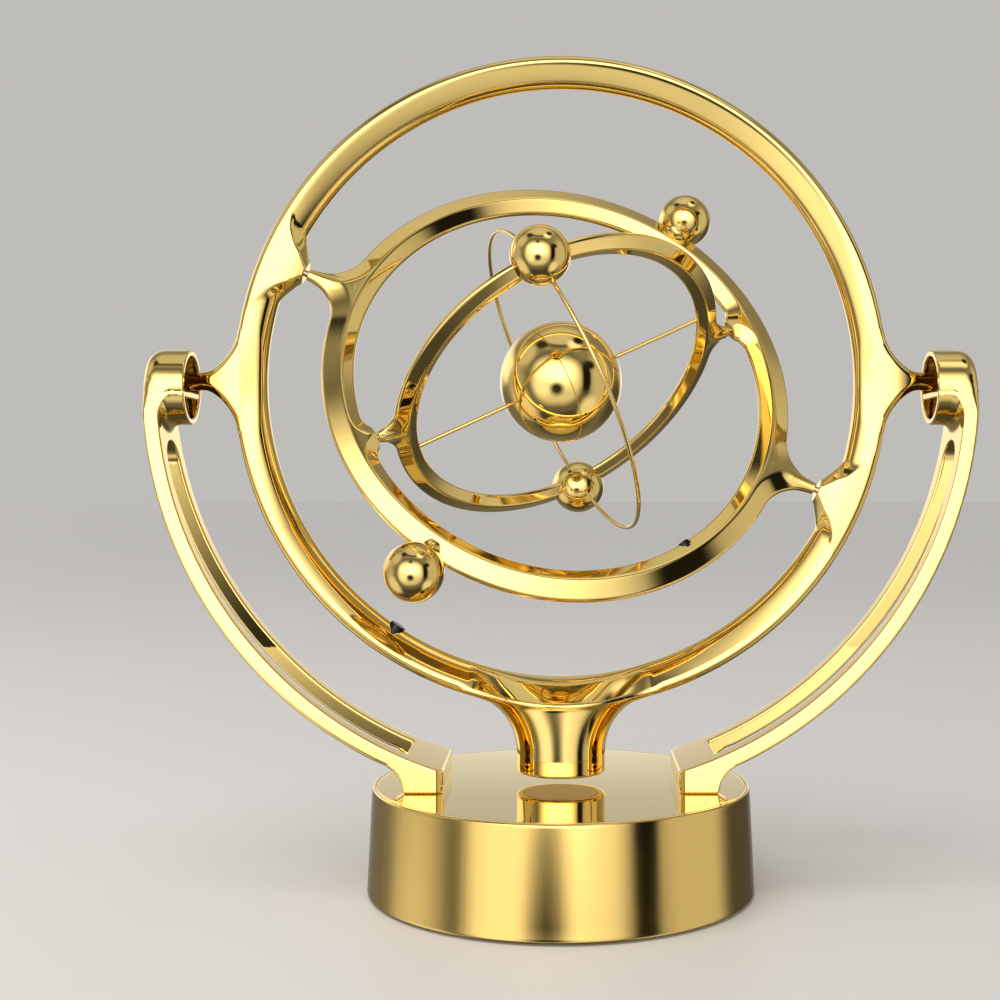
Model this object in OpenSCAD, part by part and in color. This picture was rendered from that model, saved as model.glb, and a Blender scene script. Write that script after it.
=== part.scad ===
// Kinetic orbit desk sculpture: a weighted gimbal ring swings in two arms above a battery base,
// and carries two more rings, four small balls, a wire hoop and a centre ball.
// Millimetres. Origin: middle of the underside. +Z up, +X to the right arm, -Y is the front.

/* [Base drum] */
// Radius of the drum at its foot
base_r = 47.48; // [46.5:0.01:49]
// Radius of the drum at its top edge
base_top_r = 46.34; // [45.9:0.01:47]
// Height of the glossy top face above the table
base_h = 25.76; // [25:0.01:28]
// Height of the drum's lower edge above the table
base_lift = 0.4; // [0.2:0.1:0.8]
// Thickness of the glossy top plate
plate_t = 1.55; // [1.2:0.05:2]

/* [Swing axis and arms] */
// Height of the swing axis above the table
axis_h = 124.9; // [123:0.1:127]
// Outer radius of the arm's arc
arm_outer_r = 103.14; // [102.5:0.01:104]
// Radial thickness of the arm
arm_t = 3.8; // [3:0.1:4.5]
// Height of the arm's arc centre
arm_centre_z = 125.98; // [125:0.01:127]
// Offset of each arc centre across the middle
arm_centre_x = 1.09; // [0.8:0.01:1.4]
// Outer radius of the bearing cup
cup_r = 9.32; // [9:0.01:10]
// Wall of the bearing cup
cup_wall = 1.6; // [1.2:0.1:2]
// Height of the cup's centre
cup_z = 123.42; // [123:0.01:124]
// Distance from the middle to the cup's mouth
cup_mouth_x = 91.7; // [91:0.1:92.5]
// Half depth of the arm at the foot
arm_foot_half = 15.6; // [14:0.1:17]

/* [Outer ring] */
// Outer radius of the outer ring
outer_ring_ro = 80.7; // [80:0.1:82]
// Inner radius of the outer ring
outer_ring_ri = 72.9; // [72.5:0.1:74]
// Half depth of the outer ring
outer_ring_half = 4.4; // [4:0.1:4.6]
// Radius of the bottom hub
hub_r = 10.95; // [10:0.05:12]
// Gap between the hub and the glossy top face
hub_gap = 2.62; // [2:0.01:4]

/* [Middle ring] */
// Slope of the middle ring's pivot line below level
middle_slope = 22.98; // [15:0.01:30]
// Turn of the middle ring about its pivot line at rest
middle_turn = 28.9; // [0:0.1:90]
// Outer radius of the middle ring
middle_ring_ro = 58.9; // [58.5:0.1:59.5]
// Inner radius of the middle ring
middle_ring_ri = 51.1; // [50.9:0.1:52]
// Half depth of the middle ring
middle_ring_half = 2.8; // [2.6:0.1:3.2]
// Angle of the balls round the middle ring from the pivot line
middle_ball_angle = 78.32; // [60:0.01:88]
// Distance from the middle to the middle ring's ball centres
middle_ball_dist = 64.2; // [63.5:0.1:65]

/* [Inner ring] */
// Angle of the inner ring's pivot line round the middle ring
inner_pivot = 45.1; // [30:0.1:60]
// Turn of the inner ring about its pivot line at rest
inner_turn = 73.17; // [0:0.01:90]
// Outer radius of the inner ring
inner_ring_ro = 44.5; // [44.2:0.1:45]
// Inner radius of the inner ring
inner_ring_ri = 38.65; // [38.3:0.05:38.9]
// Half depth of the inner ring
inner_ring_half = 1.75; // [1.6:0.05:2]
// Angle of the balls round the inner ring from its pivot line
inner_ball_angle = 100.91; // [80:0.01:130]
// Distance from the middle to the inner ring's ball centres
inner_ball_dist = 43.38; // [43:0.01:43.8]
// Radius of the four small balls
small_ball_r = 6.98; // [6:0.01:7]

/* [Centre] */
// Radius of the centre ball
centre_ball_r = 15.15; // [12:0.05:18]
// Angle of the wire axle round the inner ring from its pivot line
axle_angle = 10.96; // [5:0.01:20]
// Radius of the wire hoop
hoop_r = 40; // [39.8:0.05:40.2]
// Radius of the hoop's wire
wire_r = 0.5; // [0.35:0.05:0.5]

/* [Power] */
// Diameter of one AA cell
cell_d = 14.5; // [14:0.1:14.5]
// Length of one AA cell with its nub
cell_l = 50.5; // [49.5:0.1:50.5]
// Spacing of the cells
cell_pitch = 14.6; // [14.6:0.1:14.6]

/* [Hidden] */
$fn = 96;

gold = "gold";
gap = 0.05;                        // gap between fixed parts
run_fit = 0.04;                    // running clearance, radial
swing_pin_r = 1.5;
middle_pin_r = 0.8;
inner_pin_r = 0.6;

// ---------------------------------------------------------------- shared helpers
// Frames of the nested rings: a ring is drawn in XY with its pivot line on X.
// In the outer frame +Y is up and +Z faces the front.
module at_outer() {
  translate([0, 0, axis_h]) rotate([90, 0, 0]) children();
}
module at_middle() {
  at_outer() rotate([0, 0, -middle_slope]) rotate([-middle_turn, 0, 0]) children();
}
module at_inner() {
  at_middle() rotate([0, 0, inner_pivot]) rotate([inner_turn, 0, 0]) children();
}

// Cone and rod that lie along X from x0 to x1.
module cone_x(x0, x1, r0, r1) {
  translate([x0, 0, 0]) rotate([0, 90, 0]) cylinder(h = x1 - x0, r1 = r0, r2 = r1);
}
module rod_x(x0, x1, r) {
  cone_x(x0, x1, r, r);
}
// Row of cones; each row of the table is [start x, end x, start radius, end radius].
module cones_x(rows) {
  for (row = rows) cone_x(row[0], row[1], row[2], row[3]);
}

// Two copies, half a turn apart about Z.
module both_ends() {
  children();
  rotate([0, 0, 180]) children();
}
// Two copies, mirrored left to right.
module both_sides() {
  for (m = [0, 1]) mirror([m, 0, 0]) children();
}
// Four copies at [+-x, +-y].
module four_corners(xy) {
  for (sx = [-1, 1], sy = [-1, 1]) translate([sx * xy[0], sy * xy[1], 0]) children();
}
// Upright cylinder that starts at height z.
module post(z, h, r) {
  translate([0, 0, z]) cylinder(h = h, r = r);
}
// Cross recess for a screw head, starting at height z.
module cross_recess(z, length, width, h) {
  for (a = [0, 90]) rotate([0, 0, a]) translate([-length / 2, -width / 2, z]) cube([length, width, h]);
}

// ---------------------------------------------------------------- base
roof_lo = 22.3;                    // underside of the drum's roof
roof_hi = base_h - plate_t;        // top of the roof, where the plate lies
shell_in_r = 44.3;                 // inside radius of the drum
plate_r = 45.2;
cover_r = 45.4;
cover_lo = 1.2;                    // bottom cover, outer face
cover_hi = 3.2;                    // bottom cover, inner face
foot_ro = 44.6;                    // foot ring, outer radius
foot_ri = 41.3;                    // foot ring, inner radius
foot_seat = 0.8;                   // depth of the foot ring in the cover

arm_screw_xy = [33.2, 8];
arm_screw_r = 1.5;
arm_screw_hole_r = 1.7;
arm_screw_head_h = 2;
arm_screw_reach = 3.8;             // into the arm, above the top face
cover_screw_xy = [18.75, 32.5];
cover_screw_r = 1.3;
cover_head_r = 2.4;
cover_head_h = 1.1;

door_x = 29.15;                    // half width of the door
door_y = 26.15;                    // middle to the door's front edge
door_gap = 0.15;
hinge_y = 25.2;
hinge_z = (cover_lo + cover_hi) / 2;
hinge_pin_r = 0.6;

module arm_screw_holes(z) {
  four_corners(arm_screw_xy) post(z, 6, arm_screw_hole_r);
}
module base_shell() color("darkgoldenrod") difference() {
  union() {
    // [radius, height], from the foot up the outside and back down the inside
    rotate_extrude() polygon([
      [base_r, base_lift], [base_top_r, base_h - 0.5], [base_top_r - 0.45, base_h],
      [plate_r + gap, base_h], [plate_r + gap, roof_hi], [0, roof_hi],
      [0, roof_lo], [shell_in_r, roof_lo], [shell_in_r, cover_hi + gap],
      [cover_r + gap, cover_hi + gap], [cover_r + gap, base_lift]]);
    // screw posts
    four_corners(cover_screw_xy) post(cover_hi, roof_lo - cover_hi + 0.5, 2.8);
  }
  four_corners(cover_screw_xy) post(cover_hi - 1, 11, cover_screw_r);
  arm_screw_holes(roof_lo - 1);
}
module top_plate() color(gold) difference() {
  post(roof_hi, plate_t, plate_r);
  arm_screw_holes(roof_hi - 1);
}
module bottom_cover() color("dimgray") difference() {
  post(cover_lo, cover_hi - cover_lo, cover_r);
  // groove for the foot ring
  difference() {
    post(cover_lo - 1, foot_seat + 1, foot_ro + gap);
    post(cover_lo - 2, 4, foot_ri - gap);
  }
  // battery opening
  translate([-door_x - door_gap, -door_y - door_gap, 0])
    cube([2 * (door_x + door_gap), 2 * (door_y + door_gap), 6]);
  // hinge bores
  for (side = [-1, 1]) translate([side * (door_x + 0.9), hinge_y, hinge_z])
    rotate([0, 90, 0]) cylinder(h = 2.4, r = hinge_pin_r + run_fit, center = true);
  // screw holes with head recesses
  four_corners(cover_screw_xy) {
    cylinder(h = 6, r = 1.5);
    cylinder(h = cover_lo + cover_head_h, r = cover_head_r + 0.1);
  }
}
// Hinged along its back edge.
module battery_door() color("dimgray") difference() {
  union() {
    translate([-door_x, -door_y, cover_lo + gap])
      cube([2 * door_x, door_y + hinge_y, cover_hi - cover_lo - 2 * gap]);
    translate([0, hinge_y, hinge_z]) {
      rod_x(-door_x, door_x, (cover_hi - cover_lo) / 2 - gap);
      rod_x(-door_x - 1.7, door_x + 1.7, hinge_pin_r);
    }
  }
  // finger notch in the free front edge
  translate([0, -door_y - 3, 0]) cylinder(h = 8, r = 7);
}
module foot_ring() color("black") difference() {
  cylinder(h = cover_lo + foot_seat, r = foot_ro);
  post(-1, 5, foot_ri);
}
module cover_screws() color("silver") four_corners(cover_screw_xy) difference() {
  union() {
    post(cover_lo, cover_head_h, cover_head_r);
    post(cover_lo, 10, cover_screw_r);
  }
  cross_recess(z = cover_lo - 1, length = 3, width = 0.6, h = 1.7);
}

// ---------------------------------------------------------------- batteries and contacts
tray_x = 29.4;                     // inside half width of the tray
tray_y = 28.1;                     // inside half length of the tray
tray_hi = 17.85;                   // underside of the tray's ceiling
tray_wall = 1.2;
tray_top_t = 0.8;
cell_z = cover_hi + gap + cell_d / 2;
nub_h = 1;
nub_r = 2.75;
contact_t = 0.4;
contact_h = 10;
wide_contact = 24;                 // spans two cells
narrow_contact = 10;               // for one cell

// The cells lie side by side and point backwards and forwards in turn.
module each_cell() {
  for (i = [0:3]) translate([(i - 1.5) * cell_pitch, 0, cell_z])
    rotate([0, 0, (i % 2) * 180]) children();
}
module battery_cells() color("slategray") each_cell() rotate([-90, 0, 0]) {
  post(-cell_l / 2, cell_l - nub_h, cell_d / 2);
  post(cell_l / 2 - nub_h - 0.5, nub_h + 0.5, nub_r);
}
module battery_tray() color("black") difference() {
  translate([-tray_x - tray_wall, -tray_y - tray_wall, cover_hi])
    cube([2 * (tray_x + tray_wall), 2 * (tray_y + tray_wall), tray_hi + tray_top_t - cover_hi]);
  translate([-tray_x, -tray_y, 0]) cube([2 * tray_x, 2 * tray_y, tray_hi]);
}
module contact_plate(x, y, width) {
  translate([x - width / 2, y, cell_z - contact_h / 2]) cube([width, contact_t, contact_h]);
}
// Two wide plates at the back; one wide plate between two narrow ones at the front.
module contact_plates() color("silver") {
  front_y = -tray_y + gap;
  for (side = [-1, 1]) {
    contact_plate(side * cell_pitch, tray_y - gap - contact_t, wide_contact);
    contact_plate(side * 1.5 * cell_pitch, front_y, narrow_contact);
  }
  contact_plate(0, front_y, wide_contact);
}
// Four stacked rings that narrow towards the flat end of each cell.
module contact_springs() color("silver")
  each_cell() translate([0, -tray_y + gap + contact_t, 0]) rotate([-90, 0, 0]) rotate_extrude()
    for (k = [0:3]) translate([3.6 - 0.4 * k, 0.4 + 0.5 * k]) circle(r = 0.35);

// ---------------------------------------------------------------- coil and electronics
bobbin_z = 18.75;
bobbin_h = 3.5;
bobbin_core_r = 5;
flange_r = 14.5;
flange_t = 0.6;
board_z = 19.6;                    // underside of the circuit board
lead_r = 0.5;

module coil_bobbin() color("white") translate([0, 0, bobbin_z]) difference() {
  union() {
    cylinder(h = bobbin_h, r = bobbin_core_r);
    cylinder(h = flange_t, r = flange_r);
    post(bobbin_h - flange_t, flange_t, flange_r);
  }
  post(-1, 6, 3);
}
module drive_coil() color("orangered") translate([0, 0, bobbin_z + flange_t + gap]) difference() {
  cylinder(h = bobbin_h - 2 * flange_t - 2 * gap, r = 13.8);
  post(-1, 5, bobbin_core_r + gap);
}
module circuit_board() color("darkgreen") difference() {
  translate([-11, 24, board_z]) cube([22, 14, 1.6]);
  for (side = [-1, 1]) translate([side * 9, 36, 19]) cylinder(h = 3, r = 1.1);
}
// All hang from the underside of the board.
module board_parts() color("black") {
  // round body with a flat front
  translate([-6, 32.5, board_z - 4.4]) intersection() {
    cylinder(h = 4.4, r = 2.4);
    translate([-3, -1.4, 0]) cube([6, 4, 6]);
  }
  // round can
  translate([3, 33.5, board_z - 7]) cylinder(h = 7, r = 2.5);
  // two small blocks
  for (x = [-1.6, 8]) translate([x, 31, board_z - 2.2]) cube([1.6, 5, 2.2]);
}
module lead_wires() color("red") for (side = [-1, 1]) {
  // coil leads along the roof, battery leads up the outside of the tray
  translate([side * 3, 14.2, 20.4]) rotate([-90, 0, 0]) cylinder(h = 9.7, r = lead_r);
  translate([side * 9, 30, 14]) cylinder(h = 5.55, r = lead_r);
}

// ---------------------------------------------------------------- arms (drawn for the left, mirrored for the right)
foot_in_x = 28.1;                  // inner end of the foot
foot_out_x = 37.6;                 // outer end of the foot on the plate
foot_fillet_r = 7.03;
foot_fillet_x = -foot_out_x - foot_fillet_r;
slot_top_z = 104.6;                // centre of the slot's round top
slot_top_r = 5.5;
slot_half = 8.9;                   // half width of the slot's lower part
slot_taper_z = 58;                 // the slot narrows above this height
slot_lo = 30;
slot_in_x = 37.4;                  // the slot ends this far from the middle
cup_back_x = 100;
cup_floor_x = 98.9;
bearing_l = 4.7;
bearing_r = cup_r - cup_wall;

// Front view of the left arm.
module arm_outline() difference() {
  union() {
    translate([arm_centre_x, arm_centre_z]) circle(r = arm_outer_r);
    translate([foot_fillet_x, base_h]) square([-foot_in_x - foot_fillet_x, 14]);
  }
  translate([arm_centre_x, arm_centre_z]) circle(r = arm_outer_r - arm_t);
  translate([foot_fillet_x, base_h]) circle(r = foot_fillet_r);
  // trim above the cup, inside the foot and below the plate's face
  translate([-130, cup_z + 12]) square([260, 130]);
  translate([-foot_in_x, 0]) square([160, 260]);
  translate([-130, base_h - 30]) square([140, 30]);
}
// Side view: round with the cup at the top, wider towards the foot.
module arm_side_outline() union() {
  translate([0, cup_z]) circle(r = cup_r);
  polygon([[-cup_r + 0.35, cup_z - 1.5], [cup_r - 0.35, cup_z - 1.5],
    [arm_foot_half, base_h - 1], [-arm_foot_half, base_h - 1]]);
}
// Side view: round at the top, square at the bottom.
module slot_outline() union() {
  polygon([[-slot_top_r, slot_top_z], [slot_top_r, slot_top_z], [slot_half, slot_taper_z],
    [slot_half, slot_lo], [-slot_half, slot_lo], [-slot_half, slot_taper_z]]);
  translate([0, slot_top_z]) circle(r = slot_top_r);
}
// Extrudes a side view along X, from x = -120 over the given length.
module from_side(length) {
  rotate([90, 0, 90]) translate([0, 0, -120]) linear_extrude(height = length) children();
}
module arm_body() difference() {
  intersection() {
    rotate([90, 0, 0]) translate([0, 0, -25]) linear_extrude(height = 50) arm_outline();
    from_side(120) arm_side_outline();
  }
  from_side(120 - slot_in_x) slot_outline();
  // threaded holes for the screws
  for (side = [-1, 1]) translate([-arm_screw_xy[0], side * arm_screw_xy[1], base_h - 1])
    cylinder(h = 5, r = arm_screw_r);
}
module arm() union() {
  difference() {
    union() {
      arm_body();
      translate([0, 0, cup_z]) rod_x(-cup_back_x, -cup_mouth_x, cup_r - 0.02);
    }
    translate([0, 0, cup_z]) rod_x(-cup_floor_x, -cup_floor_x + 20, bearing_r);
  }
  // shelf across the cup
  intersection() {
    translate([-94.1, -cup_r, cup_z - 2.8]) cube([2.2, 2 * cup_r, 1.7]);
    translate([0, 0, cup_z]) rod_x(-98, -78, cup_r - 0.6);
  }
}
module arm_left() color(gold) arm();
module arm_right() color(gold) mirror([1, 0, 0]) arm();
module arm_screws() color("silver") four_corners(arm_screw_xy) difference() {
  union() {
    post(roof_lo - arm_screw_head_h, arm_screw_head_h, 2.8);
    post(roof_lo - 1, base_h + arm_screw_reach - roof_lo + 1, arm_screw_r);
  }
  cross_recess(z = roof_lo - 3, length = 3.4, width = 0.7, h = 2);
}
// side is -1 for the left, 1 for the right; the blind bore opens towards the middle.
module bearing(side) color("saddlebrown") difference() {
  translate([side > 0 ? cup_floor_x - bearing_l : -cup_floor_x, 0, cup_z])
    rotate([0, 90, 0]) cylinder(h = bearing_l, r = bearing_r);
  translate([side > 0 ? 93 : -97.8, 0, axis_h])
    rotate([0, 90, 0]) cylinder(h = 4.8, r = swing_pin_r + run_fit);
}
module bearing_left() bearing(-1);
module bearing_right() bearing(1);

// ---------------------------------------------------------------- outer ring
flare_r = 14;                      // concave curves beside the swing necks
flare_y = 14.94;
flare_x = sqrt(pow(outer_ring_ro + flare_r, 2) - pow(flare_y, 2));
hub_fillet_r = 14;
hub_fillet_x = hub_r + hub_fillet_r;
hub_fillet_y = -sqrt(pow(outer_ring_ro + hub_fillet_r, 2) - pow(hub_fillet_x, 2));
hub_z = base_h + hub_gap;          // underside of the hub
hub_crown_z = 46;                  // foot of the hub's crowned top
cap_r = 9.2;
cap_t = 1.15;
drive_magnet_r = 7.5;
drive_magnet_h = 5;
drive_magnet_z = cap_t + 2 * gap;  // above the hub's underside
swing_pin_x = 86;                  // inner end of the swing pins
outer_lug_x = 69;                  // tip of the lugs
outer_trim_angle = 236.3;
outer_trim_x = 76.35;              // outer end of the trim magnet
outer_trim_r = 2;
// [start x, end x, start radius, end radius]
outer_lug = [[outer_lug_x, 73, 3.1, 4], [72.5, 77, 3.9, 4.2]];

// Wide bevels that end in a blunt nose on the inside.
module outer_section() {
  nose_r = outer_ring_ri + 0.9;
  ridge_r = outer_ring_ro - 2.2;
  edge_r = outer_ring_ro - 1.8;
  polygon([[outer_ring_ri, -0.5], [nose_r, -1.8], [ridge_r, -outer_ring_half],
    [edge_r, -outer_ring_half], [outer_ring_ro, -2], [outer_ring_ro, 2],
    [edge_r, outer_ring_half], [ridge_r, outer_ring_half], [nose_r, 1.8], [outer_ring_ri, 0.5]]);
}
module neck_outline() difference() {
  translate([74, -13]) square([14.5, 26]);
  circle(r = outer_ring_ri + 2.5);
  for (side = [-1, 1]) translate([flare_x, side * flare_y]) circle(r = flare_r);
}
module hub_outline() difference() {
  translate([-22, hub_fillet_y]) square([44, -hub_fillet_y - 76]);
  for (side = [-1, 1]) translate([side * hub_fillet_x, hub_fillet_y]) circle(r = hub_fillet_r);
}
module outer_ring() color(gold) difference() {
  union() {
    at_outer() {
      rotate_extrude() outer_section();
      both_sides() {
        translate([0, 0, -3]) linear_extrude(height = 6) neck_outline();
        cone_x(78, 93, 2.9, 2.2);
      }
      translate([0, 0, -3.6]) linear_extrude(height = 7.2) hub_outline();
      // lugs that carry the middle ring
      rotate([0, 0, -middle_slope]) both_ends() cones_x(outer_lug);
    }
    // round hub with a crowned top
    post(hub_z, hub_crown_z - hub_z, hub_r);
    translate([0, 0, hub_crown_z]) cylinder(h = 4.4, r1 = hub_r, r2 = 5);
  }
  // pockets for the cap and the drive magnet
  post(hub_z - 1, cap_t + gap + 1, cap_r + gap);
  post(hub_z, drive_magnet_z + drive_magnet_h + gap, drive_magnet_r + gap);
  at_outer() {
    both_sides() rod_x(swing_pin_x, 95, swing_pin_r);
    rotate([0, 0, -middle_slope]) both_ends() rod_x(outer_lug_x - 1, 73, middle_pin_r + run_fit);
    rotate([0, 0, outer_trim_angle]) rod_x(70, outer_trim_x + gap, outer_trim_r);
  }
}
module swing_pins() color("silver") at_outer() both_sides() rod_x(swing_pin_x, 97.2, swing_pin_r);
module drive_magnet() color("dimgray")
  post(hub_z + drive_magnet_z, drive_magnet_h, drive_magnet_r);
module hub_cap() color(gold) post(hub_z, cap_t, cap_r);
module outer_trim_magnet() color("black")
  at_outer() rotate([0, 0, outer_trim_angle]) rod_x(72.6, outer_trim_x, outer_trim_r);

// ---------------------------------------------------------------- shapes of the two smaller rings
// Ring section: a ridge on each face that slopes to a narrow flat at the inner and outer edges.
module ring_section(inner_r, ridge_r, outer_r, ridge_half, inner_half, outer_half) {
  polygon([[inner_r, -inner_half], [ridge_r, -ridge_half], [ridge_r + 0.4, -ridge_half],
    [outer_r, -outer_half], [outer_r, outer_half],
    [ridge_r + 0.4, ridge_half], [ridge_r, ridge_half], [inner_r, inner_half]]);
}
// Flat stub that narrows from a ring to its tip with two concave curves.
module flat_stub(ring_r, curve_r, tip, half_width, thickness) {
  curve_y = curve_r + 1.2;
  curve_x = sqrt(pow(ring_r + curve_r, 2) - pow(curve_y, 2));
  translate([0, 0, -thickness / 2]) linear_extrude(height = thickness) difference() {
    translate([ring_r - 1, -half_width]) square([tip - ring_r + 1, 2 * half_width]);
    for (side = [-1, 1]) translate([curve_x, side * curve_y]) circle(r = curve_r);
  }
}

// ---------------------------------------------------------------- middle ring
middle_stub_x = 68.2;              // tip of the stubs
middle_lug_x = 49.2;               // tip of the lugs
middle_pin_x = 63.5;               // inner end of the pins
middle_trim_angle = 325.9;
middle_trim_x = 54.15;             // outer end of the trim magnet
middle_trim_r = 1.5;
peg_r = 1.2;                       // peg between ball and ring
peg_end_x = 62;
// [start x, end x, start radius, end radius]
middle_stub = [[56.5, 63, 2.3, 1.8], [62.8, middle_stub_x, 1.85, 1.3]];
middle_lug = [[middle_lug_x, 52, 2.5, 2.9], [51.5, 54, 2.88, 3]];

module middle_section() {
  ring_section(inner_r = middle_ring_ri, ridge_r = middle_ring_ri + 3, outer_r = middle_ring_ro,
    ridge_half = middle_ring_half, inner_half = 0.6, outer_half = 0.8);
}
module middle_ring() color(gold) at_middle() difference() {
  union() {
    rotate_extrude() middle_section();
    both_ends() {
      flat_stub(middle_ring_ro, curve_r = 11, tip = 66, half_width = 9, thickness = 2.2);
      cones_x(middle_stub);
    }
    // lugs that carry the inner ring
    rotate([0, 0, inner_pivot]) both_ends() cones_x(middle_lug);
  }
  both_ends() rod_x(middle_pin_x, middle_stub_x + 1, middle_pin_r);
  rotate([0, 0, inner_pivot]) both_ends() rod_x(middle_lug_x - 1, 52.4, inner_pin_r + run_fit);
  rotate([0, 0, middle_trim_angle]) rod_x(49, middle_trim_x + gap, middle_trim_r);
  for (a = [middle_ball_angle, middle_ball_angle + 180])
    rotate([0, 0, a]) rod_x(55.5, peg_end_x, peg_r);
}
module middle_pins() color("silver")
  at_middle() both_ends() rod_x(middle_pin_x, 72.6, middle_pin_r);
// Ball cut to the ring's outside, with its peg.
module middle_ball(angle) color(gold) at_middle() rotate([0, 0, angle]) union() {
  difference() {
    translate([middle_ball_dist, 0, 0]) sphere(r = small_ball_r);
    rotate_extrude() middle_section();
  }
  rod_x(55.6, peg_end_x, peg_r);
}
module middle_ball_front() middle_ball(middle_ball_angle + 180);
module middle_ball_back() middle_ball(middle_ball_angle);
module middle_trim_magnet() color("black")
  at_middle() rotate([0, 0, middle_trim_angle]) rod_x(51, middle_trim_x, middle_trim_r);

// ---------------------------------------------------------------- inner ring, hoop and centre
inner_stub_x = 48.5;               // tip of the stubs
inner_pin_x = 45.2;                // inner end of the pins
axle_half = 42.4;                  // half length of the wire axle
// [start x, end x, start radius, end radius]
inner_stub = [[43, 46.5, 1.7, 1.45], [46.3, inner_stub_x, 1.47, 1.15]];

module inner_section() {
  ring_section(inner_r = inner_ring_ri, ridge_r = inner_ring_ri + 2.45, outer_r = inner_ring_ro,
    ridge_half = inner_ring_half, inner_half = 0.35, outer_half = 0.6);
}
// Hoop square to the inner ring, through the ball centres' line.
module hoop(r = wire_r) {
  rotate([90, 0, 0]) rotate_extrude() translate([hoop_r, 0]) circle(r = r);
}
module inner_ring() color(gold) at_inner() difference() {
  union() {
    rotate_extrude() inner_section();
    both_ends() {
      flat_stub(inner_ring_ro, curve_r = 6.5, tip = 47.2, half_width = 6, thickness = 1.8);
      cones_x(inner_stub);
    }
  }
  both_ends() rod_x(inner_pin_x, inner_stub_x + 1, inner_pin_r);
  rotate([0, 0, axle_angle]) both_ends() rod_x(37, axle_half + 0.1, wire_r + run_fit);
  rotate([0, 0, inner_ball_angle]) hoop(wire_r + 0.03);
}
module inner_pins() color("silver")
  at_inner() both_ends() rod_x(inner_pin_x, 52.2, inner_pin_r);
// Ball with the ring and the hoop cut out of it.
module inner_ball(angle) color(gold) at_inner() difference() {
  rotate([0, 0, angle]) translate([inner_ball_dist, 0, 0]) sphere(r = small_ball_r);
  rotate_extrude() inner_section();
  rotate([0, 0, angle]) hoop();
}
module inner_ball_top() inner_ball(inner_ball_angle);
module inner_ball_bottom() inner_ball(inner_ball_angle + 180);
module orbit_hoop() color(gold) at_inner() rotate([0, 0, inner_ball_angle]) hoop();
module centre_ball() color(gold) at_inner() rotate([0, 0, axle_angle]) difference() {
  sphere(r = centre_ball_r);
  rod_x(-20, 20, wire_r);
}
module centre_axle() color(gold)
  at_inner() rotate([0, 0, axle_angle]) rod_x(-axle_half, axle_half, wire_r);

base_shell();
top_plate();
bottom_cover();
battery_door();
battery_cells();
battery_tray();
contact_plates();
contact_springs();
coil_bobbin();
drive_coil();
circuit_board();
board_parts();
lead_wires();
foot_ring();
cover_screws();
arm_left();
arm_right();
arm_screws();
bearing_left();
bearing_right();
outer_ring();
swing_pins();
drive_magnet();
hub_cap();
outer_trim_magnet();
middle_ring();
middle_pins();
middle_ball_front();
middle_ball_back();
middle_trim_magnet();
inner_ring();
inner_pins();
inner_ball_top();
inner_ball_bottom();
orbit_hoop();
centre_ball();
centre_axle();
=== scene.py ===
"""Gimbal sculpture: three nested gold rings hang between two curved arms on a round drum.

Lengths are millimetres; add_mesh turns them into metres. World +Z is up, -Y is the front and
-X is left. Each ring is shaped in its own frame: the ring lies in local XY round the common
pivot, and its own pins lie on local X.
"""
import bmesh
import bpy
import math
import numpy as np
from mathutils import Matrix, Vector


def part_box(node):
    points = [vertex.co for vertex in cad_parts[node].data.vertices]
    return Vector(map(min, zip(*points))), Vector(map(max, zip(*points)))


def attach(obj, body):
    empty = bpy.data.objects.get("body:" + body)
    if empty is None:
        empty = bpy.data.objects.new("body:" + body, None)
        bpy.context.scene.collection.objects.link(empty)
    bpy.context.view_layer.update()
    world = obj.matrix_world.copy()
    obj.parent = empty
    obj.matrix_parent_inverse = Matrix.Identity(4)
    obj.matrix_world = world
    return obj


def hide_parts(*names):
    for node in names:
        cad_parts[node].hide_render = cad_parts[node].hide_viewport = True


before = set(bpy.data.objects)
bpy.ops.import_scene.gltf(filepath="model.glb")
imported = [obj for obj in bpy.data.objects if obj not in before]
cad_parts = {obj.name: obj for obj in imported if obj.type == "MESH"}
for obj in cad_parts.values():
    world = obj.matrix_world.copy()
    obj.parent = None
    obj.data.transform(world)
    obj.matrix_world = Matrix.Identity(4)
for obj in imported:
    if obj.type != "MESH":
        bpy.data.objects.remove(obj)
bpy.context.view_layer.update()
scene = bpy.context.scene


# ------------------------------------------------------------------ driving sizes and frames
def box_mm(node):
    low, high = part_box(node)
    return np.array(low) * 1000, np.array(high) * 1000


ring_low, ring_high = box_mm("outer_ring")
ball_low, ball_high = box_mm("centre_ball")
PIVOT_Z = 0.5 * (ball_low[2] + ball_high[2])
OUTER_R = ring_high[2] - PIVOT_Z
HUB_BOTTOM = ring_low[2]
PLATE_TOP = box_mm("top_plate")[1][2]
MIDDLE_PINS = -22.98        # degrees, pin line of the middle ring in the outer ring's plane
INNER_PINS = 45.1           # degrees, pin line of the inner ring in the middle ring's plane
MIDDLE_TILT = -28.9         # degrees, turn of the middle ring about its pins
INNER_TILT = 73.17          # degrees, turn of the inner ring about its pins
BALL_R = 6.98               # the four small balls


def rot_x(degrees):
    angle = math.radians(degrees)
    cos, sin = math.cos(angle), math.sin(angle)
    return np.array([[1, 0, 0], [0, cos, -sin], [0, sin, cos]])


def rot_z(degrees):
    angle = math.radians(degrees)
    cos, sin = math.cos(angle), math.sin(angle)
    return np.array([[cos, -sin, 0], [sin, cos, 0], [0, 0, 1]])


OUTER_AXES = rot_x(90)      # local Y is up, local Z faces the front
MIDDLE_AXES = OUTER_AXES @ rot_z(MIDDLE_PINS) @ rot_x(MIDDLE_TILT)
INNER_AXES = MIDDLE_AXES @ rot_z(INNER_PINS) @ rot_x(INNER_TILT)
PIVOT = np.array([0, 0, PIVOT_Z])


def to_world(points, axes, origin=PIVOT):
    return points @ axes.T + origin


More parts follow.
